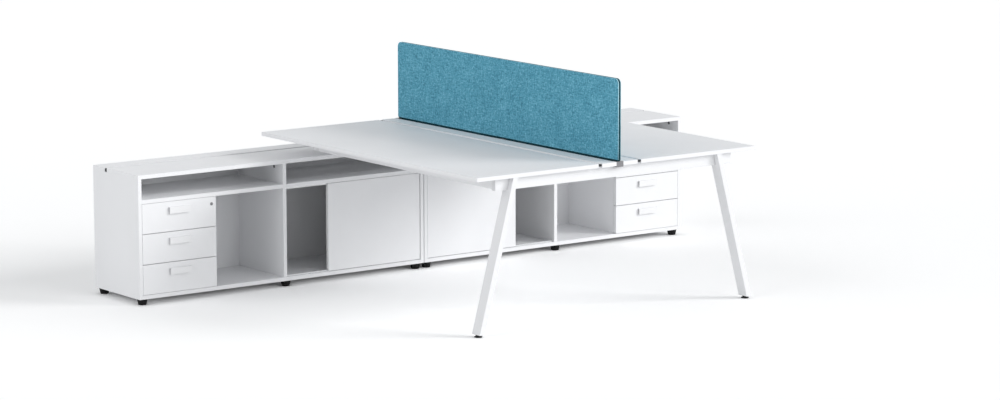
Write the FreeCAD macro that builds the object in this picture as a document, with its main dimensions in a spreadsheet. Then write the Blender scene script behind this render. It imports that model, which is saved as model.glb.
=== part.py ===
"""Two-place bench desk carried on a line of two low cabinets, as a parametric document in millimetres.

X runs along the worktops from the cabinets to the legs, Y runs along the cabinets, and Z is up.
The desk and the cabinets mirror about the screen, which stands on the plane Y = 0.
"""
import os
import re

import FreeCAD
import Part
import Sketcher

DRAWERS = ("bottom", "middle", "top")
SIDES = (("near", -1), ("far", 1))

# Driving dimensions: name, millimetres, meaning
SIZES = (
    ("desk_length", 1800, "worktops along X"),
    ("desk_height", 740, "top of the worktops"),
    ("worktop_depth", 695, "one worktop along Y"),
    ("worktop_thickness", 19, "worktops and centre strips"),
    ("desk_slot", 20, "cable slot beside each worktop"),
    ("strip_width", 85, "one centre strip along Y"),
    ("screen_gap", 40, "gap between the centre strips"),
    ("cabinet_overlap", 215, "worktops over the cabinet tops"),
    ("cabinet_length", 1650, "one cabinet along Y"),
    ("cabinet_depth", 420, "cabinets along X"),
    ("cabinet_gap", 4, "joint between the two cabinets"),
    ("board", 19, "cabinet board thickness"),
    ("niche_height", 101, "clear height of the open niches"),
    ("drawer_pitch", 147, "height of one drawer with its gap"),
    ("drawer_zone", 412, "width of the drawer fronts"),
    ("front_gap", 3, "gap between drawer fronts"),
    ("partition_setback", 2, "partition edge behind the drawer fronts"),
    ("cable_strip", 110, "rear strip of the cabinet top"),
    ("cable_slot", 20, "slot in front of the rear strip"),
    ("back_thickness", 8, "cabinet back panel"),
    ("back_inset", 7, "back panel in from the rear edges"),
    ("foot_height", 30, "cabinet feet"),
    ("foot_width", 53, "diameter at the top of a foot"),
    ("foot_tread", 41, "diameter at the floor"),
    ("foot_inset", 32, "foot centre in from the cabinet edges"),
    ("foot_shift", 20, "middle feet off the middle of a cabinet, along +Y"),
    ("box_clearance", 26, "gap behind a drawer box"),
    ("box_height", 100, "drawer box sides"),
    ("box_wall", 12, "drawer box boards"),
    ("box_base", 8, "drawer box bottom"),
    ("box_lift", 14, "box above the lower edge of its front"),
    ("runner_space", 13, "gap beside a drawer box for its runners"),
    ("runner_height", 12, "height of a runner bar"),
    ("runner_end", 10, "runner ends behind the drawer front"),
    ("runner_lift", 50, "moving strip above the box bottom"),
    ("runner_clearance", 1.5, "runner bar beside the part it passes"),
    ("running_clearance", 0.3, "sliding faces that carry each other"),
    ("handle_width", 117, "drawer pull along Y"),
    ("handle_height", 31, "drawer pull along Z"),
    ("handle_depth", 11, "drawer pull in front of its drawer"),
    ("handle_sheet", 2, "sheet thickness of the pull"),
    ("handle_drop", 27, "pull below the upper edge of its front"),
    ("lock_width", 12, "lock barrel diameter"),
    ("lock_head", 15, "lock head diameter"),
    ("lock_lip", 2, "lock head thickness"),
    ("lock_clearance", 0.05, "barrel in its bore, on the radius"),
    ("lock_inset", 25, "lock centre from the edge of the front"),
    ("lock_drop", 34, "lock centre below the upper edge"),
    ("key_width", 2, "key slot width"),
    ("key_length", 8, "key slot length"),
    ("key_depth", 1.2, "key slot depth"),
    ("door_width", 549, "sliding door along Y"),
    ("door_thickness", 18, "sliding door along X"),
    ("door_recess", 3, "door behind the cabinet front"),
    ("door_gap", 3, "gap round the door"),
    ("groove_width", 6, "door groove over its track"),
    ("groove_depth", 9, "depth of the door groove"),
    ("track_width", 4, "door track strip"),
    ("track_height", 8, "height of the track strip"),
    ("shoe_length", 40, "door glide in the groove"),
    ("shoe_inset", 60, "door glide from the door edge"),
    ("frame_setback", 125, "frame in from the user edge"),
    ("tube_wall", 2, "wall of every steel tube"),
    ("crossbar_depth", 25, "end crossbar along X"),
    ("crossbar_height", 57, "end crossbar along Z"),
    ("crossbar_setback", 30, "crossbar behind the front of the legs"),
    ("rail_width", 25, "long rails along Y"),
    ("rail_height", 50, "long rails along Z"),
    ("cross_tube", 50, "cabinet-side tube along X"),
    ("tube_setback", 56, "tube in front of the cabinets"),
    ("plug_thickness", 3, "plastic plugs in the tube ends"),
    ("inner_rail", 150, "inner rails from the screen plane"),
    ("arm_reach", 182, "arms behind the cabinet front"),
    ("tie_width", 40, "tube that ties the arms"),
    ("post_length", 80, "riser post along X"),
    ("post_width", 50, "riser post along Y"),
    ("post_inset", 20, "post in from the end of its arm"),
    ("leg_depth", 62, "leg tube along X"),
    ("leg_width", 28, "leg tube along Y, cut level"),
    ("leg_top", 614, "outer face of a leg under the worktop"),
    ("leg_foot", 809, "outer face of a leg at the floor"),
    ("leg_inset", 2, "leg in from the worktop end"),
    ("glide_width", 38, "leg glide diameter"),
    ("glide_height", 12, "leg glide height"),
    ("screen_height", 387, "screen above the worktops"),
    ("screen_sink", 9, "screen below the worktop surface"),
    ("screen_inset", 5, "screen in from the worktop ends"),
    ("screen_thickness", 18, "screen along Y"),
    ("screen_face", 5, "fabric face of the screen"),
    ("face_lift", 16, "fabric faces above the foot of the core"),
    ("screen_corner", 25, "radius of the screen corners"),
    ("bracket_length", 30, "screen bracket along X"),
    ("bracket_rise", 1, "bracket above the worktop surface"),
    ("bracket_drop", 6, "bracket below the worktop underside"),
    ("slot_cap_length", 12, "dark end cap along its cable slot"),
    ("slot_cap_height", 11, "end cap of a desk slot"),
    ("slot_cap_drop", 2, "end cap below the board surface"),
    ("slot_cap_inset", 1, "end cap in from the end of its slot"),
    ("cap_width", 15, "fitting cap diameter"),
    ("cap_thickness", 1, "fitting cap on its board"),
    ("cap_drop", 22, "cap centre below the top board"),
    ("cap_front", 78, "front caps from the cabinet front"),
    ("cap_rear", 330, "rear caps from the cabinet front"),
)

# Places worked out from the driving dimensions; a Y place is a distance from the screen plane
PLACES = {
    "desk_end": "(cabinet_depth + desk_length - cabinet_overlap) / 2",
    "desk_back": "desk_end - desk_length",
    "cabinet_back": "-desk_end",
    "cabinet_front": "cabinet_back + cabinet_depth",
    "underside": "desk_height - worktop_thickness",
    "strip_inner": "screen_gap / 2",
    "strip_outer": "strip_inner + strip_width",
    "worktop_inner": "strip_outer + desk_slot",
    "worktop_outer": "worktop_inner + worktop_depth",
    "cabinet_inner": "cabinet_gap / 2",
    "cabinet_outer": "cabinet_inner + cabinet_length",
    "cabinet_middle": "cabinet_inner + cabinet_length / 2",
    "bay_inner": "cabinet_inner + board",
    "bay_outer": "cabinet_outer - board",
    "divider_inner": "cabinet_middle - board / 2",
    "divider_outer": "cabinet_middle + board / 2",
    "inner_back": "cabinet_back + back_inset + back_thickness",
    "floor_top": "foot_height + board",
    "shelf_under": "floor_top + drawer_count * drawer_pitch",
    "shelf_top": "shelf_under + board",
    "top_under": "shelf_top + niche_height",
    "cabinet_top": "top_under + board",
    "slot_back": "cabinet_back + cable_strip",
    "slot_front": "slot_back + cable_slot",
    "drawer_inner": "bay_outer - drawer_zone",
    "partition_outer": "drawer_inner + board",
    "partition_front": "cabinet_front - board - partition_setback",
    "front_outer": "bay_outer - front_gap / 2",
    "handle_middle": "(drawer_inner + front_outer) / 2",
    "lock_middle": "drawer_inner + lock_inset",
    "box_front": "cabinet_front - board",
    "box_rear": "inner_back + box_clearance",
    "runner_front": "box_front - runner_end",
    "box_inner": "partition_outer + runner_space",
    "box_outer": "bay_outer - runner_space",
    "runner_width": "runner_space - runner_clearance",
    "door_front": "cabinet_front - door_recess",
    "door_middle": "door_front - door_thickness / 2",
    "door_inner": "bay_inner + door_gap",
    "door_outer": "door_inner + door_width",
    "door_bottom": "floor_top + door_gap",
    "door_top": "shelf_under - door_gap",
    "frame_outer": "worktop_outer - frame_setback",
    "leg_front": "desk_end - leg_inset",
    "leg_back": "leg_front - leg_depth",
    "crossbar_front": "leg_front - crossbar_setback",
    "crossbar_back": "crossbar_front - crossbar_depth",
    "crossbar_low": "underside - crossbar_height",
    "rail_low": "underside - rail_height",
    "tube_back": "cabinet_front + tube_setback",
    "tube_front": "tube_back + cross_tube",
    "arm_end": "cabinet_front - arm_reach",
    "arm_outer": "inner_rail + rail_width",
    "leg_low": "leg_top + (leg_foot - leg_top) * (underside - glide_height) / underside",
    "screen_low": "desk_height - screen_sink",
    "screen_length": "desk_length - 2 * screen_inset",
    "bracket_low": "underside - bracket_drop",
    "bracket_top": "desk_height + bracket_rise",
}

COUNTS = {"drawer_count": len(DRAWERS)}
WORD = re.compile(r"[a-z][a-z_]*")

doc = FreeCAD.newDocument("bench_desk")
parts = []


def expand(formula):
    """The formula with sizes read from the sheet and named places worked out in brackets."""
    def swap(match):
        word = match.group(0)
        if word in COUNTS:
            return str(COUNTS[word])
        if word in PLACES:
            return "(" + expand(PLACES[word]) + ")"
        return "Sizes." + word
    return WORD.sub(swap, formula)


def value(formula):
    """The number that a formula gives now."""
    return float(sheet.evalExpression(expand(formula)))


def bind(item, path, formula):
    item.setExpression(path, expand(formula))


def place(item, x, y, z):
    bind(item, "Placement.Base.x", x)
    bind(item, "Placement.Base.y", y)
    bind(item, "Placement.Base.z", z)


def keep(item, label):
    """Marks an object as a sub-part, which is written to its own file."""
    item.Label = label
    parts.append(item)
    return item


def outward(span, side):
    """Low and high Y of a span that is counted outwards from the screen plane."""
    inner, outer = span
    if side > 0:
        return inner, outer
    return "-(" + outer + ")", "-(" + inner + ")"


def mirrored(distance, side):
    """Y of a place that is counted outwards from the screen plane."""
    return outward((distance, distance), side)[0]


def box(x, y, z, side=1):
    """A board between pairs of places along X, outwards from the screen plane, and along Z."""
    item = doc.addObject("Part::Box", "Board")
    y = outward(y, side)
    for path, span in (("Length", x), ("Width", y), ("Height", z)):
        bind(item, path, span[1] + " - (" + span[0] + ")")
    place(item, x[0], y[0], z[0])
    return item


def inset(span, size):
    return span[0] + " + " + size, span[1] + " - " + size


def cut(base, tool):
    item = doc.addObject("Part::Cut", "Cut")
    item.Base = base
    item.Tool = tool
    return item


def group(items):
    item = doc.addObject("Part::Compound", "Group")
    item.Links = items
    return item


def tube(x, y, z, along, side=1):
    """A rectangular tube, open along the axis that is named."""
    hollow = {"x": x, "y": y, "z": z}
    for axis in hollow:
        if axis != along:
            hollow[axis] = inset(hollow[axis], "tube_wall")
    return cut(box(x, y, z, side), box(hollow["x"], hollow["y"], hollow["z"], side))


def rod(diameter, length, axis, x, y, z):
    """A cylinder that starts at a place and runs along +X, +Y or +Z."""
    item = doc.addObject("Part::Cylinder", "Rod")
    turns = {
        "x": FreeCAD.Rotation(FreeCAD.Vector(0, 1, 0), 90),
        "y": FreeCAD.Rotation(FreeCAD.Vector(1, 0, 0), -90),
        "z": FreeCAD.Rotation(),
    }
    item.Placement.Rotation = turns[axis]
    bind(item, "Radius", "(" + diameter + ") / 2")
    bind(item, "Height", length)
    place(item, x, y, z)
    return item


def new_sketch(body, role):
    """An empty sketch on one of the body's own origin planes."""
    sketch = body.newObject("Sketcher::SketchObject", "Outline")
    planes = [feature for feature in body.Origin.OriginFeatures if feature.Role == role]
    sketch.AttachmentSupport = [(planes[0], "")]
    sketch.MapMode = "FlatFace"
    return sketch


def dimension(sketch, kind, geometry, point, formula):
    """A dimension from the sketch origin to a point, driven by a formula."""
    number = sketch.addConstraint(
        Sketcher.Constraint(kind, -1, 1, geometry, point, value(formula)))
    bind(sketch, "Constraints[%d]" % number, formula)


def polygon(body, role, corners):
    """A closed sketch of straight lines through corners given as pairs of formulas."""
    sketch = new_sketch(body, role)
    points = [FreeCAD.Vector(value(across), value(up), 0) for across, up in corners]
    count = len(points)
    for index in range(count):
        sketch.addGeometry(Part.LineSegment(points[index], points[(index + 1) % count]), False)
    for index in range(count):
        sketch.addConstraint(
            Sketcher.Constraint("Coincident", index, 2, (index + 1) % count, 1))
    for index, (across, up) in enumerate(corners):
        if across == "0":
            sketch.addConstraint(Sketcher.Constraint("PointOnObject", index, 1, -2))
        else:
            dimension(sketch, "DistanceX", index, 1, across)
        if up == "0":
            sketch.addConstraint(Sketcher.Constraint("PointOnObject", index, 1, -1))
        else:
            dimension(sketch, "DistanceY", index, 1, up)
    return sketch


def screen_outline(body, height):
    """A sketch of one layer of the screen: square at the foot and rounded at its two upper corners."""
    sketch = new_sketch(body, "XZ_Plane")
    wide = value("screen_length")
    high = value(height)
    corner = value("screen_corner")
    vector = FreeCAD.Vector
    turn = corner * (1 - 0.5 ** 0.5)
    sides = (
        Part.LineSegment(vector(0, 0, 0), vector(0, high - corner, 0)),
        Part.Arc(vector(0, high - corner, 0), vector(turn, high - turn, 0), vector(corner, high, 0)),
        Part.LineSegment(vector(corner, high, 0), vector(wide - corner, high, 0)),
        Part.Arc(vector(wide - corner, high, 0), vector(wide - turn, high - turn, 0),
                 vector(wide, high - corner, 0)),
        Part.LineSegment(vector(wide, high - corner, 0), vector(wide, 0, 0)),
        Part.LineSegment(vector(wide, 0, 0), vector(0, 0, 0)),
    )
    left, left_arc, top, right_arc, right, foot = [sketch.addGeometry(side, False) for side in sides]
    # An arc runs anticlockwise, so its start is the end that lies further round to the right
    for first, first_end, second, second_end in (
            (left, 2, left_arc, 2), (left_arc, 1, top, 1), (top, 2, right_arc, 2), (right_arc, 1, right, 1)):
        sketch.addConstraint(Sketcher.Constraint("Tangent", first, first_end, second, second_end))
    sketch.addConstraint(Sketcher.Constraint("Coincident", right, 2, foot, 1))
    sketch.addConstraint(Sketcher.Constraint("Coincident", foot, 2, left, 1))
    sketch.addConstraint(Sketcher.Constraint("Coincident", left, 1, -1, 1))
    sketch.addConstraint(Sketcher.Constraint("Vertical", left))
    sketch.addConstraint(Sketcher.Constraint("Vertical", right))
    sketch.addConstraint(Sketcher.Constraint("Horizontal", foot))
    sketch.addConstraint(Sketcher.Constraint("Equal", left_arc, right_arc))
    radius = sketch.addConstraint(Sketcher.Constraint("Radius", left_arc, corner))
    bind(sketch, "Constraints[%d]" % radius, "screen_corner")
    dimension(sketch, "DistanceX", right, 2, "screen_length")
    dimension(sketch, "DistanceY", top, 1, height)
    return sketch


def pad(body, sketch, length):
    """Thickens a sketch equally to both sides of its plane."""
    feature = body.newObject("PartDesign::Pad", "Thickness")
    feature.Profile = sketch
    feature.SideType = "Symmetric"
    bind(feature, "Length", length)
    return feature


def new_body():
    return doc.addObject("PartDesign::Body", "Body")


# The sheet of driving dimensions
sheet = doc.addObject("Spreadsheet::Sheet", "Sizes")
for row, (name, size, meaning) in enumerate(SIZES, start=1):
    sheet.set("A%d" % row, meaning)
    sheet.set("B%d" % row, str(size))
    sheet.setAlias("B%d" % row, name)
doc.recompute()


def make_tops():
    """Worktops, and the centre strips with the screen gap between them."""
    run = ("desk_back", "desk_end")
    level = ("underside", "desk_height")
    for name, side in SIDES:
        keep(box(run, ("worktop_inner", "worktop_outer"), level, side), name + "_worktop")
    strips = [box(run, ("strip_inner", "strip_outer"), level, side) for _, side in SIDES]
    keep(group(strips), "centre_strips")


def make_frame():
    """Crossbar, cross tubes, long rails, plugs and the posts that stand on the cabinets."""
    whole = ("-(frame_outer)", "frame_outer")
    level = ("rail_low", "underside")
    bar_x = ("crossbar_back", "crossbar_front")
    bar_z = ("crossbar_low", "underside")
    keep(tube(bar_x, whole, bar_z, "y"), "end_crossbar")

    tube_x = ("tube_back", "tube_front")
    tie_x = ("arm_end", "arm_end + tie_width")
    tie_y = ("-(inner_rail)", "inner_rail")
    keep(group([tube(tube_x, whole, level, "y"), tube(tie_x, tie_y, level, "y")]), "cabinet_cross_tubes")

    rails = []
    posts = []
    plugs = []
    post_x = ("arm_end + post_inset", "arm_end + post_inset + post_length")
    arm_middle = "inner_rail + rail_width / 2"
    post_y = (arm_middle + " - post_width / 2", arm_middle + " + post_width / 2")
    plug_y = ("frame_outer - plug_thickness", "frame_outer")
    for _, side in SIDES:
        span = ("tube_front", "crossbar_back")
        rails.append(tube(span, ("frame_outer - rail_width", "frame_outer"), level, "x", side))
        rails.append(tube(span, ("inner_rail", "arm_outer"), level, "x", side))
        rails.append(tube(("arm_end", "tube_back"), ("inner_rail", "arm_outer"), level, "x", side))
        posts.append(box(post_x, post_y, ("cabinet_top", "rail_low"), side))
        plugs.append(box(inset(tube_x, "tube_wall"), plug_y, inset(level, "tube_wall"), side))
        plugs.append(box(inset(bar_x, "tube_wall"), plug_y, inset(bar_z, "tube_wall"), side))
    keep(group(rails), "long_rails")
    keep(group(posts), "riser_posts")
    keep(group(plugs), "tube_end_plugs")


def make_legs():
    """Splayed legs on round glides, cut level at both ends and notched behind for the crossbar."""
    wall = "tube_wall"
    outer = (("leg_low", "glide_height"), ("leg_top", "underside"),
             ("leg_top - leg_width", "underside"), ("leg_low - leg_width", "glide_height"))
    hollow = (("leg_low - " + wall, "glide_height"), ("leg_top - " + wall, "underside"),
              ("leg_top - leg_width + " + wall, "underside"),
              ("leg_low - leg_width + " + wall, "glide_height"))
    glides = []
    for name, side in SIDES:
        body = new_body()
        pad(body, polygon(body, "YZ_Plane", outer), "leg_depth")
        bore = body.newObject("PartDesign::Pocket", "Hollow")
        bore.Profile = polygon(body, "YZ_Plane", hollow)
        bore.SideType = "Symmetric"
        bind(bore, "Length", "leg_depth - 2 * tube_wall")
        if side < 0:
            body.Placement.Rotation = FreeCAD.Rotation(FreeCAD.Vector(0, 0, 1), 180)
        bind(body, "Placement.Base.x", "leg_front - leg_depth / 2")
        notch = box(("leg_back", "crossbar_front"), ("inner_rail", "frame_outer"),
                    ("crossbar_low", "underside"), side)
        keep(cut(body, notch), name + "_leg")
        middle = mirrored("leg_low - leg_width / 2", side)
        glides.append(rod("glide_width", "glide_height", "z", "leg_front - leg_depth / 2", middle, "0"))
    keep(group(glides), "leg_glides")


def make_screen():
    """Two fabric faces on a darker core, which stands in brackets between the centre strips."""
    core = "screen_thickness - 2 * screen_face"
    offset = "(screen_thickness - screen_face) / 2"
    layers = (("screen_near_face", "screen_face", "-(" + offset + ")", "screen_low + face_lift"),
              ("screen_core", core, "0", "screen_low"),
              ("screen_far_face", "screen_face", offset, "screen_low + face_lift"))
    for label, thickness, middle, foot in layers:
        body = new_body()
        pad(body, screen_outline(body, "desk_height + screen_height - (" + foot + ")"), thickness)
        place(body, "desk_back + screen_inset", middle, foot)
        keep(body, label)

    middle = "(desk_back + desk_end) / 2"
    centre = (middle + " - bracket_length / 2", middle + " + bracket_length / 2")
    back = "desk_back + bracket_length"
    front = "desk_end - bracket_length"
    # Each block with the reach of its socket, which stays closed at the ends of the desk
    blocks = ((("desk_back", back), ("desk_back + screen_inset", back)),
              (centre, centre),
              ((front, "desk_end"), (front, "desk_end - screen_inset")))
    block_y = ("-(screen_gap) / 2", "screen_gap / 2")
    socket_y = ("screen_face - screen_thickness / 2", "screen_thickness / 2 - screen_face")
    brackets = []
    for block_x, socket_x in blocks:
        block = box(block_x, block_y, ("bracket_low", "bracket_top"))
        brackets.append(cut(block, box(socket_x, socket_y, ("screen_low", "bracket_top"))))
    keep(group(brackets), "screen_brackets")


def make_carcass(name, side):
    """The fixed boards of one cabinet."""
    whole_x = ("cabinet_back", "cabinet_front")
    inside_x = ("inner_back", "cabinet_front")
    top_z = ("top_under", "cabinet_top")
    front_x = ("slot_front", "cabinet_front")
    boards = (
        ("top_board", front_x, ("cabinet_inner", "cabinet_outer"), top_z),
        ("outer_end_panel", whole_x, ("bay_outer", "cabinet_outer"), ("foot_height", "top_under")),
        ("inner_end_panel", whole_x, ("cabinet_inner", "bay_inner"), ("foot_height", "top_under")),
        ("divider", inside_x, ("divider_inner", "divider_outer"), ("floor_top", "top_under")),
        ("bottom_board", whole_x, ("bay_inner", "bay_outer"), ("foot_height", "floor_top")),
        ("back_panel", ("cabinet_back + back_inset", "inner_back"), ("bay_inner", "bay_outer"),
         ("floor_top", "top_under")),
    )
    for label, x, y, z in boards:
        keep(box(x, y, z, side), name + "_" + label)
    bays = (("bay_inner", "divider_inner"), ("divider_outer", "bay_outer"))
    shelves = [box(inside_x, bay, ("shelf_under", "shelf_top"), side) for bay in bays]
    keep(group(shelves), name + "_shelves")


def make_partitions():
    """Upright boards between the drawers and the open cubby of each cabinet."""
    x = ("inner_back", "partition_front")
    y = ("drawer_inner", "partition_outer")
    boards = [box(x, y, ("floor_top", "shelf_under"), side) for _, side in SIDES]
    keep(group(boards), "drawer_partitions")


def slot_cap_spans(low, high):
    """Spans of the two end caps in a cable slot that runs between two places."""
    return ((low + " + slot_cap_inset", low + " + slot_cap_inset + slot_cap_length"),
            (high + " - slot_cap_inset - slot_cap_length", high + " - slot_cap_inset"))


def make_slot_caps():
    """Dark caps in the ends of the cable slots, beside the worktops and in the cabinet tops."""
    desk_top = "desk_height - slot_cap_drop"
    desk_z = (desk_top + " - slot_cap_height", desk_top)
    cabinet_z = ("top_under", "cabinet_top - slot_cap_drop")
    caps = []
    for _, side in SIDES:
        for span in slot_cap_spans("desk_back", "desk_end"):
            caps.append(box(span, ("strip_outer", "worktop_inner"), desk_z, side))
        for span in slot_cap_spans("cabinet_inner", "cabinet_outer"):
            caps.append(box(("slot_back", "slot_front"), span, cabinet_z, side))
    keep(group(caps), "slot_end_caps")


def make_cabinet_trim():
    """Rear cable strips, feet and fitting caps of both cabinets."""
    strips = []
    feet = []
    caps = []
    cap_faces = (("bay_outer - cap_thickness", "bay_outer"),
                 ("divider_outer", "divider_outer + cap_thickness"),
                 ("divider_inner - cap_thickness", "divider_inner"),
                 ("bay_inner", "bay_inner + cap_thickness"))
    for _, side in SIDES:
        strips.append(box(("cabinet_back", "slot_back"), ("cabinet_inner", "cabinet_outer"),
                          ("top_under", "cabinet_top"), side))
        inner_foot = mirrored("cabinet_inner + foot_inset", side)
        middle_foot = mirrored("cabinet_middle", side) + " + foot_shift"
        outer_foot = mirrored("cabinet_outer - foot_inset", side)
        for along in (inner_foot, middle_foot, outer_foot):
            for across in ("cabinet_back + foot_inset", "cabinet_front - foot_inset"):
                foot = doc.addObject("Part::Cone", "Foot")
                bind(foot, "Radius1", "foot_tread / 2")
                bind(foot, "Radius2", "foot_width / 2")
                bind(foot, "Height", "foot_height")
                place(foot, across, along, "0")
                feet.append(foot)
        for face in cap_faces:
            for setback in ("cap_front", "cap_rear"):
                caps.append(rod("cap_width", "cap_thickness", "y", "cabinet_front - " + setback,
                                outward(face, side)[0], "top_under - cap_drop"))
    keep(group(strips), "cabinet_rear_strips")
    keep(group(feet), "cabinet_feet")
    keep(group(caps), "fitting_caps")


def drawer_level(level):
    """Lower and upper edge of a drawer front, counted from the bottom drawer."""
    low = "floor_top + %d * drawer_pitch + front_gap / 2" % level
    high = "floor_top + %d * drawer_pitch - front_gap / 2" % (level + 1)
    return low, high


def make_drawer(name, side, level):
    """One drawer: its front, its box with the moving runner strips, and its pull."""
    low, high = drawer_level(level)
    label = name + "_" + DRAWERS[level] + "_drawer_"
    front = box(("box_front", "cabinet_front"), ("drawer_inner", "front_outer"), (low, high), side)
    if DRAWERS[level] == "top":
        middle = mirrored("lock_middle", side)
        bore = rod("lock_width + 2 * lock_clearance", "board", "x", "box_front", middle, high + " - lock_drop")
        front = cut(front, bore)
    keep(front, label + "front")

    floor = low + " + box_lift"
    roof = floor + " + box_height"
    run = ("box_rear", "box_front")
    strip_x = ("box_rear", "runner_front")
    strip_z = (floor + " + runner_lift", floor + " + runner_lift + runner_height")
    between = inset(("box_inner", "box_outer"), "box_wall")
    solids = [
        box(run, ("box_inner", "box_inner + box_wall"), (floor, roof), side),
        box(run, ("box_outer - box_wall", "box_outer"), (floor, roof), side),
        box(("box_rear", "box_rear + box_wall"), between, (floor, roof), side),
        box(("box_rear + box_wall", "box_front"), between, (floor, floor + " + box_base"), side),
        box(strip_x, ("box_inner - runner_width", "box_inner"), strip_z, side),
        box(strip_x, ("box_outer", "box_outer + runner_width"), strip_z, side),
    ]
    keep(group(solids), label + "box")

    body = new_body()
    deep = "handle_depth - handle_sheet"
    under = "handle_height - handle_sheet"
    profile = (("0", under), ("0", "handle_height"), ("handle_depth", "handle_height"),
               ("handle_depth", "0"), (deep, "0"), (deep, under))
    pad(body, polygon(body, "XZ_Plane", profile), "handle_width")
    middle = mirrored("handle_middle", side)
    place(body, "cabinet_front", middle, high + " - handle_drop - handle_height")
    keep(body, label + "handle")


def make_runners():
    """Runner bars on the end panels and partitions, one under each moving strip."""
    bars = []
    for _, side in SIDES:
        for level in range(len(DRAWERS)):
            low, _high = drawer_level(level)
            top = low + " + box_lift + runner_lift - running_clearance"
            z = (top + " - runner_height", top)
            x = ("box_rear", "runner_front")
            bars.append(box(x, ("partition_outer", "partition_outer + runner_width"), z, side))
            bars.append(box(x, ("bay_outer - runner_width", "bay_outer"), z, side))
    keep(group(bars), "drawer_runners")


def make_lock(name, side):
    """A lock barrel with a round head and a key slot, which turns in the top drawer front."""
    _low, high = drawer_level(DRAWERS.index("top"))
    middle = mirrored("lock_middle", side)
    level = high + " - lock_drop"
    head_start = "cabinet_front + running_clearance"
    barrel = rod("lock_width", "board + running_clearance", "x", "box_front", middle, level)
    head = rod("lock_head", "lock_lip", "x", head_start, middle, level)
    whole = doc.addObject("Part::Fuse", "Lock")
    whole.Base = barrel
    whole.Tool = head
    face = head_start + " + lock_lip"
    key_y = (middle + " - key_width / 2", middle + " + key_width / 2")
    key_z = (level + " - key_length / 2", level + " + key_length / 2")
    keep(cut(whole, box((face + " - key_depth", face), key_y, key_z)), name + "_lock")


def make_door(name, side):
    """A sliding door with a groove along its upper and lower edge, and two glides in the lower one."""
    span = ("door_inner", "door_outer")
    x = ("door_front - door_thickness", "door_front")
    groove_x = ("door_middle - groove_width / 2", "door_middle + groove_width / 2")
    roof = "door_bottom + groove_depth"
    panel = box(x, span, ("door_bottom", "door_top"), side)
    grooves = [box(groove_x, span, ("door_bottom", roof), side),
               box(groove_x, span, ("door_top - groove_depth", "door_top"), side)]
    keep(cut(panel, group(grooves)), name + "_door")
    shoe_z = ("floor_top + track_height + running_clearance", roof)
    starts = ("door_inner + shoe_inset", "door_outer - shoe_inset - shoe_length")
    shoes = [box(groove_x, (start, start + " + shoe_length"), shoe_z, side) for start in starts]
    keep(group(shoes), name + "_door_glides")


def make_door_tracks():
    """Track strips below and above each door, along its whole bay."""
    x = ("door_middle - track_width / 2", "door_middle + track_width / 2")
    bay = ("bay_inner", "divider_inner")
    levels = (("floor_top", "floor_top + track_height"), ("shelf_under - track_height", "shelf_under"))
    strips = [box(x, bay, level, side) for _, side in SIDES for level in levels]
    keep(group(strips), "door_tracks")


def check_document():
    """Stops if any object failed or has a bad shape."""
    for item in doc.Objects:
        if "Invalid" in item.State or "Error" in item.State:
            raise RuntimeError("failed object: " + item.Label)
    for item in parts:
        if item.Shape.isNull() or not item.Shape.isValid():
            raise RuntimeError("bad shape: " + item.Label)


def write_files():
    os.makedirs("parts", exist_ok=True)
    for item in parts:
        item.Shape.exportStep("parts/" + item.Label + ".step")
    print("wrote", len(parts), "sub-parts")


make_tops()
make_frame()
make_legs()
make_screen()
for side_name, side_sign in SIDES:
    make_carcass(side_name, side_sign)
    for drawer in range(len(DRAWERS)):
        make_drawer(side_name, side_sign, drawer)
    make_lock(side_name, side_sign)
    make_door(side_name, side_sign)
make_runners()
make_door_tracks()
make_partitions()
make_slot_caps()
make_cabinet_trim()
doc.recompute()
check_document()
write_files()
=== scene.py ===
"""Looks of a two-place bench desk on low cabinets, laid out as an add-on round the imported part."""
import math

import bmesh
import bpy
from bpy.props import FloatProperty, FloatVectorProperty, IntProperty, PointerProperty
from bpy.types import Operator, Panel, PropertyGroup
from mathutils import Matrix, Vector


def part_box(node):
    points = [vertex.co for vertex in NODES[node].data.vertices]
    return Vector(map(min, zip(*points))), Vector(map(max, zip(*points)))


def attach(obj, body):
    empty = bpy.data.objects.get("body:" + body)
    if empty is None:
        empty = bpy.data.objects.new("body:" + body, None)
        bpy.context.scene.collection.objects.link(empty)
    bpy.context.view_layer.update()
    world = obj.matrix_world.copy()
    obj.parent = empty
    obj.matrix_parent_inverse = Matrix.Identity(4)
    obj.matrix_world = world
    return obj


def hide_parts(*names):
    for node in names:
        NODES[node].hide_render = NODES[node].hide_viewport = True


bl_info = {
    "name": "Bench Desk Looks",
    "version": (1, 0, 0),
    "blender": (4, 5, 0),
    "location": "3D View > Sidebar > Bench Desk",
    "description": "Finishes, fabric screen, turned feet and studio of a bench desk on low cabinets",
    "category": "Object",
}

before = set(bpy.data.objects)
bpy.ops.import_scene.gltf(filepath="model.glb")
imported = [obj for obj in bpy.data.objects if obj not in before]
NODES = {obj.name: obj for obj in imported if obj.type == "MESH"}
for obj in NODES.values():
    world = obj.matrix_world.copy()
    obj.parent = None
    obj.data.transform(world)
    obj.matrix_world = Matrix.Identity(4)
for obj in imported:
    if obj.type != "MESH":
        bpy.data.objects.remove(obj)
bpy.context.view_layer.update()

FIXED_BODY = "desk_and_cabinets"
# Way along Y from the middle of the desk to each side
OUTWARD = {"near": -1, "far": 1}
SIDES = tuple(OUTWARD)
LEVELS = ("bottom", "middle", "top")
DRAWERS = tuple(side + "_" + level + "_drawer" for side in SIDES for level in LEVELS)
MM = 0.001
TURN = 2 * math.pi
QUARTER_TURN = math.pi / 2

# Rounded edges of the CAD nodes
WELD_REACH = 0.01 * MM
FLAT_ANGLE = math.radians(0.5)
SHARP_ANGLE = math.radians(40.0)
EDGE_STEPS = 3

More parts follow.
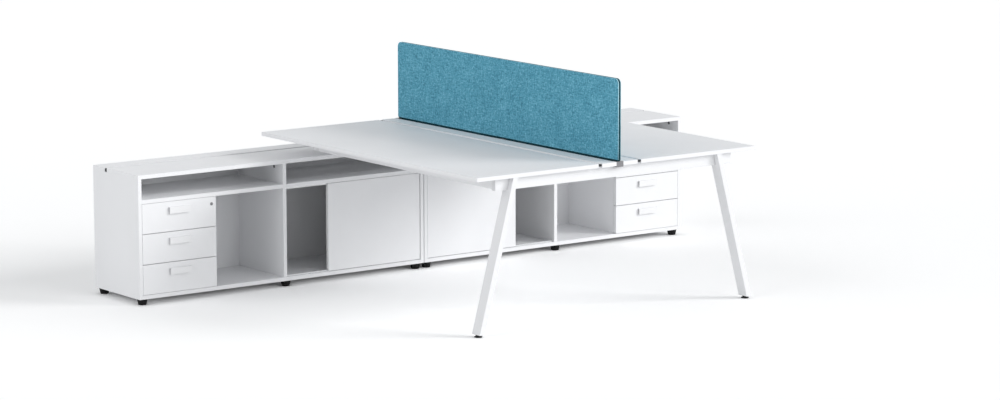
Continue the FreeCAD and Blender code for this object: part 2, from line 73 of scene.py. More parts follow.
# Fabric faces: facets of a corner and of the turned edge, and how the swell rises in from that edge
CORNER_STEPS = 10
TIGHTEST_CORNER = 1.0 * MM
COVER_TURN_STEPS = 6
SWELL_STEPS = (0.2, 0.45, 0.75, 1.0)
SWELL_REACH = 60.0 * MM

# Cabinet feet: facets, the tread's share of the flange, and the grip's share of the step between them
STEPS_PER_FLUTE = 8
TREAD_SHARE = 0.78
GRIP_SHARE = 0.6

# Leg glides: facets, and the shares of the disc that the waist and the nut take
GLIDE_STEPS = 64
WAIST_SHARE = 0.50
NUT_SHARE = 0.62

# Studio lamps, camera and floor
LAMPS = ("key", "front", "fill")
LAMP_SETTINGS = ("strength", "azimuth", "height", "spread")
LAMP_DISTANCE = 8.0
SENSOR_WIDTH = 36.0
SIGHT_LIMIT = 300.0
FLOOR_DROP = 0.2 * MM

WORKTOP_NODES = ("near_worktop", "far_worktop", "centre_strips")
CARCASS_NODES = ("drawer_partitions", "cabinet_rear_strips") + tuple(
    side + "_" + board for side in SIDES
    for board in ("top_board", "outer_end_panel", "inner_end_panel", "divider", "bottom_board",
                  "back_panel", "shelves"))
FRONT_NODES = tuple(side + "_door" for side in SIDES) + tuple(name + "_front" for name in DRAWERS)
BOX_NODES = tuple(name + "_box" for name in DRAWERS)
PULL_NODES = tuple(name + "_handle" for name in DRAWERS)
LOCK_NODES = tuple(side + "_lock" for side in SIDES)
STEEL_NODES = ("end_crossbar", "cabinet_cross_tubes", "long_rails", "riser_posts", "near_leg", "far_leg")
TRACK_NODES = ("door_tracks", "drawer_runners")
PALE_PLASTIC_NODES = ("tube_end_plugs",) + tuple(side + "_door_glides" for side in SIDES)


def colour(name, description, red, green, blue):
    """A colour that the sidebar shows as a swatch."""
    return FloatVectorProperty(name=name, description=description, subtype="COLOR", size=3,
                               min=0.0, max=1.0, default=(red, green, blue))


def length(name, description, millimetres):
    """A length that the sidebar shows in the scene's unit."""
    return FloatProperty(name=name, description=description, subtype="DISTANCE", unit="LENGTH",
                         min=0.0, default=millimetres * MM)


def share(name, description, default):
    """A number from nought to one."""
    return FloatProperty(name=name, description=description, subtype="FACTOR", min=0.0, max=1.0,
                         default=default)


def angle(name, description, degrees):
    """An angle that the sidebar shows in degrees."""
    return FloatProperty(name=name, description=description, subtype="ANGLE", unit="ROTATION",
                         default=math.radians(degrees))


class BENCH_PG_finishes(PropertyGroup):
    """Colours and surface qualities of the desk's materials."""

    laminate: colour("Laminate", "White melamine of the boards", 0.86, 0.865, 0.88)
    foil: colour("Drawer Foil", "White foil on the drawer boxes", 0.82, 0.825, 0.84)
    powder: colour("Powder Coat", "White coat of the steel tubes", 0.83, 0.835, 0.85)
    pull: colour("Pull Coat", "White coat of the drawer pulls", 0.85, 0.853, 0.865)
    fabric_deep: colour("Fabric, Deep", "Darkest yarn of the screen fabric", 0.026, 0.150, 0.235)
    fabric_mid: colour("Fabric, Middle", "Main yarn of the screen fabric", 0.088, 0.360, 0.500)
    fabric_light: colour("Fabric, Light", "Palest yarn of the screen fabric", 0.270, 0.640, 0.800)
    # Painted highlight: a paler teal for the edge walls of the fabric faces, standing in for the key lamp
    # catching the turned fabric.
    painted_edge_highlight: colour("Fabric Hem", "Pale welded edge of the fabric faces", 0.62, 0.86, 0.92)
    trim: colour("Screen Trim", "Edge trim between the two fabric faces", 0.006, 0.038, 0.050)
    anodised: colour("Anodised Grey", "Screen sockets", 0.23, 0.23, 0.24)
    mill: colour("Mill Finish", "Door tracks and drawer runners", 0.62, 0.63, 0.64)
    nickel: colour("Nickel", "Lock heads", 0.26, 0.26, 0.27)
    black: colour("Black Plastic", "Cabinet feet", 0.004, 0.004, 0.0045)
    charcoal: colour("Charcoal Plastic", "Leg glides and slot end caps", 0.035, 0.036, 0.038)
    slate: colour("Slate Plastic", "Fitting caps inside the cabinets", 0.10, 0.102, 0.106)
    pale: colour("Pale Plastic", "Tube plugs and door glides", 0.78, 0.785, 0.80)
    board_gloss: share("Board Roughness", "Roughness of the melamine faces", 0.55)
    coat_gloss: share("Coat Roughness", "Roughness of the powder coat", 0.48)


class BENCH_PG_pieces(PropertyGroup):
    """Sizes of the rounded edges and of the pieces that are made here."""

    worktop_edge: length("Worktop Edge", "Rounding of the worktop edges", 1.2)
    board_edge: length("Board Edge", "Rounding of cabinet boards, doors and drawer fronts", 0.7)
    tube_edge: length("Tube Edge", "Rounding of the steel tubes", 1.3)
    sheet_edge: length("Sheet Edge", "Rounding of the drawer pulls", 0.6)
    small_edge: length("Small Edge", "Rounding of plugs, fitting caps, locks and sockets", 0.4)
    cap_edge: length("Slot Cap Edge", "Rounding of the end caps in the cable slots", 4.0)
    cover_round: length("Cover Rounding", "Turn of the fabric over the edge of the screen", 1.0)
    cover_crown: length("Cover Crown", "Swell of the fabric over its padding", 0.4)
    screen_corner: length("Screen Corner", "Radius of the upper corners of the screen", 25.0)
    foot_inset: length("Foot Inset", "Centre of a foot in from the cabinet edges", 32.0)
    foot_shift: length("Foot Shift", "Middle feet off the middle of a cabinet, along +Y", 20.0)
    flutes: IntProperty(name="Grip Flutes", description="Flutes round a cabinet foot", min=0, default=18)
    flute_depth: length("Flute Depth", "Depth of a grip flute", 0.8)


class BENCH_PG_studio(PropertyGroup):
    """Lamps, floor and camera."""

    key_strength: FloatProperty(name="Key", description="Strength of the lamp on the leg end", default=1.65)
    key_azimuth: angle("Key Azimuth", "Direction of the key lamp, round from +X towards +Y", 48.0)
    key_height: angle("Key Height", "Height of the key lamp over the horizon", 24.0)
    key_spread: angle("Key Softness", "Angle that the key lamp fills", 25.0)
    front_strength: FloatProperty(name="Front", description="Strength of the low lamp on the drawers",
                                  default=0.55)
    front_azimuth: angle("Front Azimuth", "Direction of the front lamp, round from +X towards +Y", 14.0)
    front_height: angle("Front Height", "Height of the front lamp over the horizon", 16.0)
    front_spread: angle("Front Softness", "Angle that the front lamp fills", 28.0)
    fill_strength: FloatProperty(name="Fill", description="Strength of the lamp on the near end", default=0.7)
    fill_azimuth: angle("Fill Azimuth", "Direction of the fill lamp, round from +X towards +Y", -92.0)
    fill_height: angle("Fill Height", "Height of the fill lamp over the horizon", 26.0)
    fill_spread: angle("Fill Softness", "Angle that the fill lamp fills", 50.0)
    ambient: FloatProperty(name="Ambient", description="Light that comes from all round", default=0.52)
    ambient_tint: colour("Ambient Tint", "Tint of the light from all round", 0.97, 0.985, 1.0)
    floor: colour("Floor", "Pale floor", 0.98, 0.98, 0.98)
    floor_lift: FloatProperty(name="Floor Lift", default=0.18,
                              description="Paleness that the camera sees added to the floor")
    floor_reach: FloatProperty(name="Floor Reach", description="Half the side of the floor", unit="LENGTH",
                               default=60.0)
    target: FloatVectorProperty(name="Camera Target", description="Point that the camera looks at",
                                subtype="XYZ", default=(0.0604, 0.0, 0.4345))
    azimuth: angle("Camera Azimuth", "Camera round the desk, from the near end towards the legs", 53.706)
    height: angle("Camera Height", "Camera over the horizon", 9.411)
    roll: angle("Camera Roll", "Tilt of the picture", -0.079)
    distance: FloatProperty(name="Camera Distance", description="Camera to its target", unit="LENGTH",
                            default=17.877)
    lens: FloatProperty(name="Lens", description="Focal length in millimetres", default=132.46)


class Finish:
    """A new material with its shader, and short ways to add the nodes that colour it."""

    def __init__(self, name):
        self.material = bpy.data.materials.new(name)
        self.material.use_nodes = True
        self.tree = self.material.node_tree
        self.shader = self.tree.nodes["Principled BSDF"]
        coordinates = self.node("ShaderNodeTexCoord")
        self.places = coordinates.outputs["Object"]
        self.facing = coordinates.outputs["Normal"]

    def node(self, kind, **sockets):
        """A node whose sockets, named with underscores for spaces, are set or linked."""
        node = self.tree.nodes.new(kind)
        for name, given in sockets.items():
            self.plug(node.inputs[name.replace("_", " ")], given)
        return node

    def plug(self, socket, given):
        """Links an output to a socket, or sets the socket to a plain value."""
        if isinstance(given, bpy.types.NodeSocket):
            self.tree.links.new(given, socket)
        else:
            socket.default_value = given

    def surface(self, **sockets):
        """Sets or links sockets of the shader itself."""
        for name, given in sockets.items():
            self.plug(self.shader.inputs[name.replace("_", " ")], given)

    def grain(self, scale, detail=2.0, stretch=(1.0, 1.0, 1.0)):
        """Noise with the given number of grains to the metre, closer along stretched axes."""
        spaced = self.node("ShaderNodeMapping", Vector=self.places, Scale=stretch)
        noise = self.node("ShaderNodeTexNoise", Vector=spaced.outputs["Vector"], Scale=scale, Detail=detail)
        return noise.outputs["Fac"]

    def ribs(self, axis, period, wander=0.0):
        """Even ridges across one axis, a period apart in metres.

        A wave node of scale one repeats every pi / 10 metres.
        """
        wave = self.node("ShaderNodeTexWave", Vector=self.places, Scale=math.pi / (10 * period),
                         Distortion=wander, Detail=1.0)
        wave.bands_direction = axis
        return wave.outputs["Fac"]

    def combine(self, first, second, operation="ADD"):
        """Two sources, or a source and a number, brought together by arithmetic."""
        node = self.node("ShaderNodeMath")
        node.operation = operation
        self.plug(node.inputs[0], first)
        self.plug(node.inputs[1], second)
        return node.outputs["Value"]

    def portion(self, source, amount):
        """A source turned down to a part of itself."""
        return self.combine(source, amount, "MULTIPLY")

    def spread(self, source, low, high, start=0.25, end=0.75):
        """Maps a source between start and end onto a range of numbers."""
        node = self.node("ShaderNodeMapRange", Value=source, From_Min=start, From_Max=end,
                         To_Min=low, To_Max=high)
        return node.outputs["Result"]

    def tones(self, source, stops):
        """Colours along a source, as pairs of a place and a colour."""
        ramp = self.node("ShaderNodeValToRGB", Fac=source)
        elements = ramp.color_ramp.elements
        while len(elements) < len(stops):
            elements.new(0.5)
        for element, (position, tone) in zip(elements, stops):
            element.position = position
            element.color = (*tone, 1.0)
        return ramp.outputs["Color"]

    def relief(self, height, depth):
        """Bump of a real depth in metres."""
        bump = self.node("ShaderNodeBump", Height=height, Distance=depth, Strength=1.0)
        self.surface(Normal=bump.outputs["Normal"])


def shaded(tone, times):
    """A colour made darker or paler."""
    return tuple(min(1.0, part * times) for part in tone)


def board_finish(name, tone, roughness):
    """Melamine or foil: an even white with a faint cloud, fine pearl relief and soft sheen changes."""
    finish = Finish(name)
    cloud = finish.grain(scale=2.6, detail=3.0)
    pearl = finish.grain(scale=850.0, detail=1.0)
    rub = finish.grain(scale=9.0, detail=4.0, stretch=(1.0, 1.0, 2.5))
    finish.surface(
        Base_Color=finish.tones(cloud, ((0.3, shaded(tone, 0.975)), (0.7, shaded(tone, 1.01)))),
        Roughness=finish.spread(rub, low=roughness - 0.05, high=roughness + 0.05),
        Specular_IOR_Level=0.15)
    finish.relief(pearl, depth=0.03 * MM)
    return finish.material


def powder_finish(name, tone, roughness):
    """Powder coat: white with an orange-peel relief and painted shade, a slightly darker colour, in the
    hollows of that relief.
    """
    finish = Finish(name)
    peel = finish.grain(scale=420.0)
    cloud = finish.grain(scale=5.0)
    # Painted shade: the colour darkens, with the same noise as the relief, where the orange-peel relief is
    # low.
    finish.surface(
        Base_Color=finish.tones(peel, ((0.25, shaded(tone, 0.97)), (0.65, tone))),
        Roughness=finish.spread(cloud, low=roughness - 0.04, high=roughness + 0.06),
        Specular_IOR_Level=0.4)
    finish.relief(peel, depth=0.06 * MM)
    return finish.material


def fabric_finish(name, looks):
    """Melange cloth: crossed yarns that run from deep to light, a fuzzy weave and a painted highlight, a
    paler teal on the edge walls where the key lamp catches the turned fabric.
    """
    finish = Finish(name)
    weft = finish.grain(scale=1.0, stretch=(55.0, 55.0, 520.0))
    warp = finish.grain(scale=1.0, stretch=(520.0, 55.0, 55.0))
    clump = finish.grain(scale=110.0, detail=3.0)
    drift = finish.grain(scale=14.0)
    yarns = finish.portion(finish.combine(weft, warp), 0.30)
    melange = finish.combine(finish.combine(yarns, finish.portion(clump, 0.30)), finish.portion(drift, 0.08))
    # Painted highlight: walls that face across Y rather than along it, the turned edges of the faces, get a
    # paler teal, as if lit by the key lamp.
    across = finish.node("ShaderNodeSeparateXYZ", Vector=finish.facing).outputs["Y"]
    painted_edge_highlight = finish.spread(finish.combine(across, across, "MULTIPLY"), low=0.4, high=0.0, start=0.2, end=0.6)
    dyes = ((0.37, looks.fabric_deep), (0.49, looks.fabric_mid), (0.63, looks.fabric_light),
            (0.85, looks.painted_edge_highlight))
    finish.surface(
        Base_Color=finish.tones(finish.combine(melange, painted_edge_highlight), dyes),
        Roughness=finish.spread(clump, low=0.82, high=0.95),
        Specular_IOR_Level=0.2,
        Sheen_Weight=0.25,
        Sheen_Roughness=0.5,
        Sheen_Tint=(0.55, 0.80, 0.88, 1.0))
    warp_ribs = finish.ribs("X", period=1.6 * MM, wander=1.5)
    weft_ribs = finish.ribs("Z", period=1.6 * MM, wander=1.5)
    fuzz = finish.portion(finish.grain(scale=1400.0), 0.6)
    finish.relief(finish.combine(finish.combine(warp_ribs, weft_ribs, "MAXIMUM"), fuzz), depth=0.35 * MM)
    return finish.material


def trim_finish(name, tone):
    """Dyed edge trim with a close rib along its run."""
    finish = Finish(name)
    rib = finish.ribs("Y", period=1.1 * MM, wander=0.6)
    dye = finish.grain(scale=160.0, detail=3.0)
    finish.surface(
        Base_Color=finish.tones(dye, ((0.3, shaded(tone, 0.7)), (0.7, shaded(tone, 1.35)))),
        Roughness=finish.spread(dye, low=0.75, high=0.9),
        Specular_IOR_Level=0.1)
    finish.relief(rib, depth=0.1 * MM)
    return finish.material


def metal_finish(name, tone, roughness, lines_to_metre):
    """Bare or anodised metal with fine lines along the way that it was drawn or brushed."""
    finish = Finish(name)
    lines = finish.grain(scale=1.0, detail=3.0, stretch=lines_to_metre)
    cloud = finish.grain(scale=30.0)
    finish.surface(
        Base_Color=finish.tones(lines, ((0.3, shaded(tone, 0.86)), (0.7, shaded(tone, 1.1)))),
        Metallic=1.0,
        Roughness=finish.spread(cloud, low=roughness - 0.06, high=roughness + 0.08))
    finish.relief(lines, depth=0.02 * MM)
    return finish.material


def plastic_finish(name, tone, roughness):
    """Moulded plastic with a spark-eroded texture and uneven handling sheen."""
    finish = Finish(name)
    spark = finish.grain(scale=1300.0)
    rub = finish.grain(scale=60.0, detail=3.0)
    finish.surface(
        Base_Color=finish.tones(rub, ((0.3, shaded(tone, 0.94)), (0.7, shaded(tone, 1.05)))),
        Roughness=finish.spread(rub, low=roughness - 0.08, high=roughness + 0.08),
        Specular_IOR_Level=0.2)
    finish.relief(spark, depth=0.04 * MM)
    return finish.material


def paint(names, material):
    """Gives CAD nodes a finish."""
    for name in names:
        slots = NODES[name].data.materials
        slots.clear()
        slots.append(material)


def dress(names, material, edge, join_flats=False):
    """Gives CAD nodes a finish and rounds their edges by modifiers; their own meshes stay as packed.

    Joined flats keep thin triangles from running out of a bored hole's rim.
    """
    paint(names, material)
    for name in names:
        node = NODES[name]
        weld = node.modifiers.new("Join split corners", "WELD")
        weld.merge_threshold = WELD_REACH
        if join_flats:
            flat = node.modifiers.new("Join flat faces", "DECIMATE")
            flat.decimate_type = "DISSOLVE"
            flat.angle_limit = FLAT_ANGLE
        bevel = node.modifiers.new("Round edges", "BEVEL")
        bevel.width = edge
        bevel.segments = EDGE_STEPS
        bevel.limit_method = "ANGLE"
        bevel.angle_limit = SHARP_ANGLE
        bevel.miter_outer = "MITER_ARC"
        bevel.face_strength_mode = "FSTR_ALL"
        normals = node.modifiers.new("Even flat faces", "WEIGHTED_NORMAL")
        normals.keep_sharp = False
        normals.use_face_influence = True


def finish_mesh(name, mesh, material, body, replaced):
    """Puts a made mesh on its CAD body, in place of the nodes that it stands for."""
    bmesh.ops.recalc_face_normals(mesh, faces=mesh.faces)
    data = bpy.data.meshes.new(name)
    mesh.to_mesh(data)
    mesh.free()
    data.materials.append(material)
    data.shade_smooth()
    piece = bpy.data.objects.new(name, data)
    bpy.context.scene.collection.objects.link(piece)
    normals = piece.modifiers.new("Even flat faces", "WEIGHTED_NORMAL")
    normals.keep_sharp = False
    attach(piece, body)
    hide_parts(replaced)
    return piece


def bridge_rings(mesh, rings):
    """Quads between neighbouring rings of vertices, and a face over the first and the last."""
    for lower, upper in zip(rings, rings[1:]):
        count = len(lower)
        for index in range(count):
            after = (index + 1) % count
            mesh.faces.new((lower[index], lower[after], upper[after], upper[index]))
    mesh.faces.new(tuple(reversed(rings[0])))
    mesh.faces.new(tuple(rings[-1]))


def turn_profile(mesh, profile, centre, steps, flutes=0, flute_depth=0.0):
    """A turned solid; rows of the profile are radius, height and how much of the flutes they take."""
    rings = []
    for radius, height, fluted in profile:
        ring = []
        for step in range(steps):
            way = TURN * step / steps
            dip = fluted * flute_depth * (0.5 - 0.5 * math.cos(flutes * way))
            reach = radius - dip
            spot = centre + Vector((reach * math.cos(way), reach * math.sin(way), height))
            ring.append(mesh.verts.new(spot))
        rings.append(ring)
    bridge_rings(mesh, rings)


def foot_places(inset, shift):
    """Centres of the feet on the floor, six to a cabinet, in from its edges and off its middle."""
    for side, outward in OUTWARD.items():
        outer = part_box(side + "_outer_end_panel")
        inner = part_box(side + "_inner_end_panel")
        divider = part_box(side + "_divider")
        outer_y = outward * (max(abs(outer[0].y), abs(outer[1].y)) - inset)
        inner_y = outward * (min(abs(inner[0].y), abs(inner[1].y)) + inset)
        middle_y = (divider[0].y + divider[1].y) / 2 + shift
        for x in (outer[0].x + inset, outer[1].x - inset):
            for y in (outer_y, middle_y, inner_y):
                yield Vector((x, y, 0.0))


def foot_profile(radius, tread, height):
    """A cabinet foot: rounded tread, fluted grip that widens upwards, groove and flange."""
    grip = tread + GRIP_SHARE * (radius - tread)
    return (
        (tread - 3.5 * MM, 0.0, 0.0),
        (tread - 1.5 * MM, 0.6 * MM, 0.0),
        (tread - 0.4 * MM, 1.8 * MM, 0.0),
        (tread, 3.6 * MM, 0.0),
        (tread + 0.3 * MM, 5.4 * MM, 0.0),
        (tread + 0.6 * MM, 6.8 * MM, 1.0),
        (grip, height - 9.0 * MM, 1.0),
        (grip + 0.1 * MM, height - 7.5 * MM, 0.0),
        (grip - 1.2 * MM, height - 6.5 * MM, 0.0),
        (grip - 1.2 * MM, height - 5.6 * MM, 0.0),
        (radius - 0.7 * MM, height - 4.9 * MM, 0.0),
        (radius, height - 4.0 * MM, 0.0),
        (radius, height - 0.8 * MM, 0.0),
        (radius - 0.6 * MM, height, 0.0),
    )


def glide_profile(radius, height):
    """A leg glide: low rounded disc, waist and the nut against the leg."""
    waist = WAIST_SHARE * radius
    nut = NUT_SHARE * radius
    return (
        (radius - 2.0 * MM, 0.0, 0.0),
        (radius - 0.7 * MM, 0.4 * MM, 0.0),
        (radius, 1.6 * MM, 0.0),
        (radius, 3.6 * MM, 0.0),
        (radius - 0.8 * MM, 4.6 * MM, 0.0),
        (radius - 4.5 * MM, 5.6 * MM, 0.0),
        (waist + 0.02 * radius, 6.4 * MM, 0.0),
        (waist, 7.2 * MM, 0.0),
        (nut, 7.6 * MM, 0.0),
        (nut, height, 0.0),
    )


def screen_ring(low, high, corner, inset, steps):
    """Points round the screen, square at the foot and rounded above, moved in by an inset."""
    left, right = low.x + inset, high.x - inset
    foot, crest = low.z + inset, high.z - inset
    radius = max(corner - inset, TIGHTEST_CORNER)
    points = [(left, foot), (right, foot)]
    for middle, start in ((right - radius, 0.0), (left + radius, QUARTER_TURN)):
        for step in range(steps + 1):
            way = start + QUARTER_TURN * step / steps
            points.append((middle + radius * math.cos(way), crest - radius + radius * math.sin(way)))
    return points


def cover_mesh(low, high, outward, pieces):
    """A fabric face that turns over the edges of the screen and swells a little in the middle."""
    mesh = bmesh.new()
    depth = high.y - low.y
    turn = min(pieces.cover_round, depth)
    flat = depth - pieces.cover_crown
    back = low.y if outward > 0 else high.y
    profile = [(0.0, 0.0)]
    for step in range(COVER_TURN_STEPS + 1):
        way = QUARTER_TURN * step / COVER_TURN_STEPS
        profile.append((turn * (1 - math.cos(way)), flat - turn + turn * math.sin(way)))
    for step in SWELL_STEPS:
        swell = pieces.cover_crown * math.sin(QUARTER_TURN * step)
        profile.append((turn + SWELL_REACH * step, flat + swell))
    rings = []
    for inset, rise in profile:
        points = screen_ring(low, high, pieces.screen_corner, inset, CORNER_STEPS)
        rings.append([mesh.verts.new((x, back + outward * rise, z)) for x, z in points])
    bridge_rings(mesh, rings)
    return mesh


class BENCH_OT_boards(Operator):
    """Finish the worktops, cabinet boards, doors and drawer fronts in white melamine"""

    bl_idname = "bench.boards"
    bl_label = "Finish Boards"

    def execute(self, context):
        looks, pieces = context.scene.bench_finishes, context.scene.bench_pieces
        laminate = board_finish("white_melamine", looks.laminate, looks.board_gloss)
        dress(WORKTOP_NODES, laminate, pieces.worktop_edge)
        dress(CARCASS_NODES, laminate, pieces.board_edge)
        dress(FRONT_NODES, laminate, pieces.board_edge, join_flats=True)
        return {"FINISHED"}


class BENCH_OT_drawer_boxes(Operator):
    """Finish the drawer boxes in white foil"""

    bl_idname = "bench.drawer_boxes"
    bl_label = "Finish Drawer Boxes"

    def execute(self, context):
        looks = context.scene.bench_finishes
        paint(BOX_NODES, board_finish("white_drawer_foil", looks.foil, looks.board_gloss))
        return {"FINISHED"}


class BENCH_OT_steel(Operator):
    """Finish the frame tubes, posts and splayed legs in white powder coat"""

    bl_idname = "bench.steel"
    bl_label = "Finish Steel Frame"

    def execute(self, context):
        looks, pieces = context.scene.bench_finishes, context.scene.bench_pieces
        coat = powder_finish("white_powder_coat", looks.powder, looks.coat_gloss)
        dress(STEEL_NODES, coat, pieces.tube_edge)
        return {"FINISHED"}


class BENCH_OT_pulls(Operator):
    """Finish the folded sheet pulls of the drawers"""

    bl_idname = "bench.pulls"
    bl_label = "Finish Drawer Pulls"

    def execute(self, context):
        looks, pieces = context.scene.bench_finishes, context.scene.bench_pieces
        coat = powder_finish("white_pull_coat", looks.pull, looks.coat_gloss)
        dress(PULL_NODES, coat, pieces.sheet_edge)
        return {"FINISHED"}


class BENCH_OT_locks(Operator):
    """Finish the lock heads in satin nickel"""

    bl_idname = "bench.locks"
    bl_label = "Finish Locks"

    def execute(self, context):
        looks, pieces = context.scene.bench_finishes, context.scene.bench_pieces
        nickel = metal_finish("satin_nickel", looks.nickel, roughness=0.34,
                              lines_to_metre=(900.0, 900.0, 160.0))
        dress(LOCK_NODES, nickel, pieces.small_edge)
        return {"FINISHED"}


class BENCH_OT_screen(Operator):
    """Make the two fabric faces of the screen and finish its trim and sockets"""

    bl_idname = "bench.screen"
    bl_label = "Make Screen"

    def execute(self, context):
        looks, pieces = context.scene.bench_finishes, context.scene.bench_pieces
        fabric = fabric_finish("teal_melange_fabric", looks)
        for side, outward in OUTWARD.items():
            node = "screen_" + side + "_face"
            low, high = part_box(node)
            mesh = cover_mesh(low, high, outward, pieces)
            cover = finish_mesh("screen_" + side + "_cover", mesh, fabric, FIXED_BODY, node)
        dress(("screen_core",), trim_finish("dark_teal_trim", looks.trim), pieces.sheet_edge)
        anodised = metal_finish("anodised_grey", looks.anodised, roughness=0.42,
                                lines_to_metre=(60.0, 900.0, 900.0))
        dress(("screen_brackets",), anodised, pieces.small_edge)
        return {"FINISHED"}


class BENCH_OT_feet(Operator):
    """Turn the twelve black feet under the cabinets"""

    bl_idname = "bench.feet"
    bl_label = "Make Cabinet Feet"

    def execute(self, context):
        looks, pieces = context.scene.bench_finishes, context.scene.bench_pieces
        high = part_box("cabinet_feet")[1]
        radius = pieces.foot_inset - (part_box("near_outer_end_panel")[1].x - high.x)
        profile = foot_profile(radius, TREAD_SHARE * radius, high.z)
        steps = STEPS_PER_FLUTE * pieces.flutes
        mesh = bmesh.new()
        for place in foot_places(pieces.foot_inset, pieces.foot_shift):
            turn_profile(mesh, profile, place, steps, pieces.flutes, pieces.flute_depth)
        black = plastic_finish("black_foot_plastic", looks.black, roughness=0.5)
        finish_mesh("cabinet_feet_turned", mesh, black, FIXED_BODY, "cabinet_feet")
        return {"FINISHED"}


class BENCH_OT_glides(Operator):
    """Turn the two dark glides under the splayed legs"""

    bl_idname = "bench.glides"
    bl_label = "Make Leg Glides"

    def execute(self, context):
        looks = context.scene.bench_finishes
        low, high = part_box("leg_glides")
        radius = (high.x - low.x) / 2
        profile = glide_profile(radius, high.z)
        mesh = bmesh.new()
        for y in (low.y + radius, high.y - radius):
            turn_profile(mesh, profile, Vector((low.x + radius, y, 0.0)), GLIDE_STEPS)
        charcoal = plastic_finish("charcoal_glide_plastic", looks.charcoal, roughness=0.45)
        finish_mesh("leg_glides_turned", mesh, charcoal, FIXED_BODY, "leg_glides")
        return {"FINISHED"}


class BENCH_OT_fittings(Operator):
    """Finish the plugs, caps, door glides, tracks and runners"""

    bl_idname = "bench.fittings"
    bl_label = "Finish Small Fittings"

    def execute(self, context):
        looks, pieces = context.scene.bench_finishes, context.scene.bench_pieces
        pale = plastic_finish("pale_fitting_plastic", looks.pale, roughness=0.45)
        dress(PALE_PLASTIC_NODES, pale, pieces.small_edge)
        slate = plastic_finish("slate_cap_plastic", looks.slate, roughness=0.5)
        dress(("fitting_caps",), slate, pieces.small_edge)
        charcoal = plastic_finish("charcoal_cap_plastic", looks.charcoal, roughness=0.5)
        dress(("slot_end_caps",), charcoal, pieces.cap_edge)
        mill = metal_finish("mill_aluminium", looks.mill, roughness=0.4, lines_to_metre=(900.0, 60.0, 900.0))
        dress(TRACK_NODES, mill, pieces.small_edge)
        return {"FINISHED"}


def seen_rays(tree):
    """One where the camera sees a surface, straight or by reflection, and nought for other light."""
    path = tree.nodes.new("ShaderNodeLightPath")
    total = path.outputs["Is Camera Ray"]
    for name in ("Is Glossy Ray", "Is Transmission Ray"):
        node = tree.nodes.new("ShaderNodeMath")
        node.operation = "ADD"
        node.use_clamp = True
        tree.links.new(total, node.inputs[0])
        tree.links.new(path.outputs[name], node.inputs[1])
        total = node.outputs["Value"]
    return total


def make_world(studio):
    """Soft light from all round, seen as plain white."""
    world = bpy.data.worlds.new("studio_white")
    world.use_nodes = True
    tree = world.node_tree
    tree.nodes.clear()
    light = tree.nodes.new("ShaderNodeBackground")
    light.inputs["Color"].default_value = (*studio.ambient_tint, 1.0)
    light.inputs["Strength"].default_value = studio.ambient
    white = tree.nodes.new("ShaderNodeBackground")
    white.inputs["Color"].default_value = (1.0, 1.0, 1.0, 1.0)
    white.inputs["Strength"].default_value = 1.0
    mix = tree.nodes.new("ShaderNodeMixShader")
    out = tree.nodes.new("ShaderNodeOutputWorld")
    tree.links.new(seen_rays(tree), mix.inputs["Fac"])
    tree.links.new(light.outputs["Background"], mix.inputs[1])
    tree.links.new(white.outputs["Background"], mix.inputs[2])
    tree.links.new(mix.outputs["Shader"], out.inputs["Surface"])
    bpy.context.scene.world = world


def floor_finish(studio):
    """A pale floor that the camera sees a little brighter, so that lit parts look white and shadows stay."""
    material = bpy.data.materials.new("studio_floor")
    material.use_nodes = True
    tree = material.node_tree
    tree.nodes.clear()
    matt = tree.nodes.new("ShaderNodeBsdfDiffuse")
    matt.inputs["Color"].default_value = (*studio.floor, 1.0)
    seen = tree.nodes.new("ShaderNodeBsdfDiffuse")
    lift = tree.nodes.new("ShaderNodeMath")
    lift.operation = "MULTIPLY"
    lift.inputs[1].default_value = studio.floor_lift
    tree.links.new(seen_rays(tree), lift.inputs[0])
    tree.links.new(lift.outputs["Value"], seen.inputs["Color"])
    both = tree.nodes.new("ShaderNodeAddShader")
    out = tree.nodes.new("ShaderNodeOutputMaterial")
    tree.links.new(matt.outputs["BSDF"], both.inputs[0])
    tree.links.new(seen.outputs["BSDF"], both.inputs[1])
    tree.links.new(both.outputs["Shader"], out.inputs["Surface"])
    return material


def make_floor(studio):
    """The floor, a little under the feet so that their treads do not flicker with it."""
    reach = studio.floor_reach
    mesh = bpy.data.meshes.new("studio_floor")
    corners = [(-reach, -reach, 0.0), (reach, -reach, 0.0), (reach, reach, 0.0), (-reach, reach, 0.0)]
    mesh.from_pydata(corners, [], [(0, 1, 2, 3)])
    mesh.materials.append(floor_finish(studio))
    floor = bpy.data.objects.new("studio_floor", mesh)
    bpy.context.scene.collection.objects.link(floor)
    floor.location.z = -FLOOR_DROP


def make_lamp(name, strength, azimuth, height, spread):
    """A broad lamp far off in one direction, round from +X towards +Y and over the horizon."""
    data = bpy.data.lights.new(name, "SUN")
    data.energy = strength
    data.angle = spread
    lamp = bpy.data.objects.new(name, data)
    way = Vector((math.cos(azimuth) * math.cos(height), math.sin(azimuth) * math.cos(height),
                  math.sin(height)))
    lamp.location = LAMP_DISTANCE * way
    lamp.rotation_euler = way.to_track_quat("Z", "Y").to_euler()
    bpy.context.scene.collection.objects.link(lamp)


def make_camera(studio):
    """The camera at the angle of the picture."""
    data = bpy.data.cameras.new("picture_camera")
    data.lens = studio.lens
    data.sensor_width = SENSOR_WIDTH
    data.clip_end = SIGHT_LIMIT
    camera = bpy.data.objects.new("picture_camera", data)
    back = Vector((math.sin(studio.azimuth) * math.cos(studio.height),
                   -math.cos(studio.azimuth) * math.cos(studio.height), math.sin(studio.height)))
    turn = back.to_track_quat("Z", "Y").to_matrix().to_4x4()
    place = Matrix.Translation(Vector(studio.target) + back * studio.distance)
    camera.matrix_world = place @ turn @ Matrix.Rotation(studio.roll, 4, "Z")
    bpy.context.scene.collection.objects.link(camera)
    bpy.context.scene.camera = camera


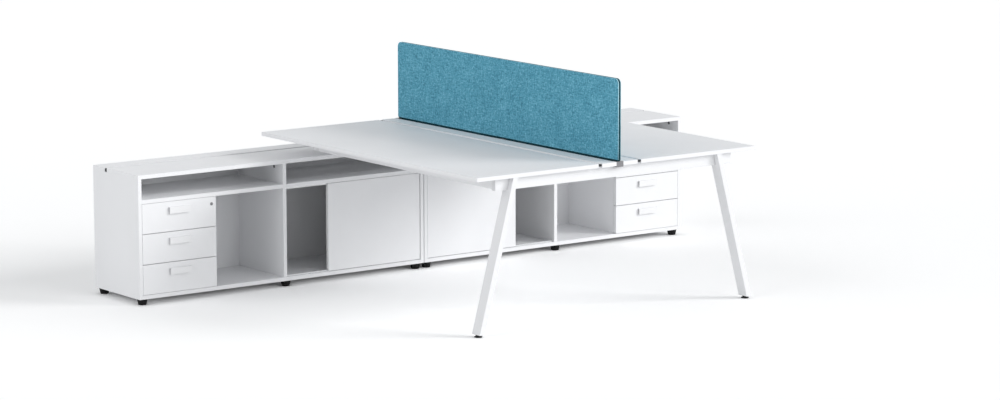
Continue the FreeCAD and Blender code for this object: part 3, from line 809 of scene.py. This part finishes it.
class BENCH_OT_stage(Operator):
    """Set up the white floor, the soft lamps and the camera"""

    bl_idname = "bench.stage"
    bl_label = "Set Up Studio"

    def execute(self, context):
        studio = context.scene.bench_studio
        make_world(studio)
        make_floor(studio)
        for lamp in LAMPS:
            make_lamp(lamp + "_lamp", *(getattr(studio, lamp + "_" + setting) for setting in LAMP_SETTINGS))
        make_camera(studio)
        context.scene.view_settings.view_transform = "Standard"
        return {"FINISHED"}


OPERATORS = (BENCH_OT_boards, BENCH_OT_drawer_boxes, BENCH_OT_steel, BENCH_OT_pulls, BENCH_OT_locks,
             BENCH_OT_screen, BENCH_OT_feet, BENCH_OT_glides, BENCH_OT_fittings, BENCH_OT_stage)


class BENCH_PT_sidebar(Panel):
    """Lists the steps that dress the bench desk"""

    bl_idname = "BENCH_PT_sidebar"
    bl_label = "Bench Desk"
    bl_space_type = "VIEW_3D"
    bl_region_type = "UI"
    bl_category = "Bench Desk"

    def draw(self, context):
        column = self.layout.column(align=True)
        for operator in OPERATORS:
            column.operator(operator.bl_idname)


GROUPS = (("bench_finishes", BENCH_PG_finishes), ("bench_pieces", BENCH_PG_pieces),
          ("bench_studio", BENCH_PG_studio))


def register():
    for name, group in GROUPS:
        bpy.utils.register_class(group)
        setattr(bpy.types.Scene, name, PointerProperty(type=group))
    for operator in OPERATORS:
        bpy.utils.register_class(operator)
    bpy.utils.register_class(BENCH_PT_sidebar)


def unregister():
    bpy.utils.unregister_class(BENCH_PT_sidebar)
    for operator in reversed(OPERATORS):
        bpy.utils.unregister_class(operator)
    for name, group in reversed(GROUPS):
        delattr(bpy.types.Scene, name)
        bpy.utils.unregister_class(group)


def main():
    register()
    bpy.ops.bench.boards()
    bpy.ops.bench.drawer_boxes()
    bpy.ops.bench.steel()
    bpy.ops.bench.pulls()
    bpy.ops.bench.locks()
    bpy.ops.bench.screen()
    bpy.ops.bench.feet()
    bpy.ops.bench.glides()
    bpy.ops.bench.fittings()
    bpy.ops.bench.stage()


if __name__ == "__main__":
    main()
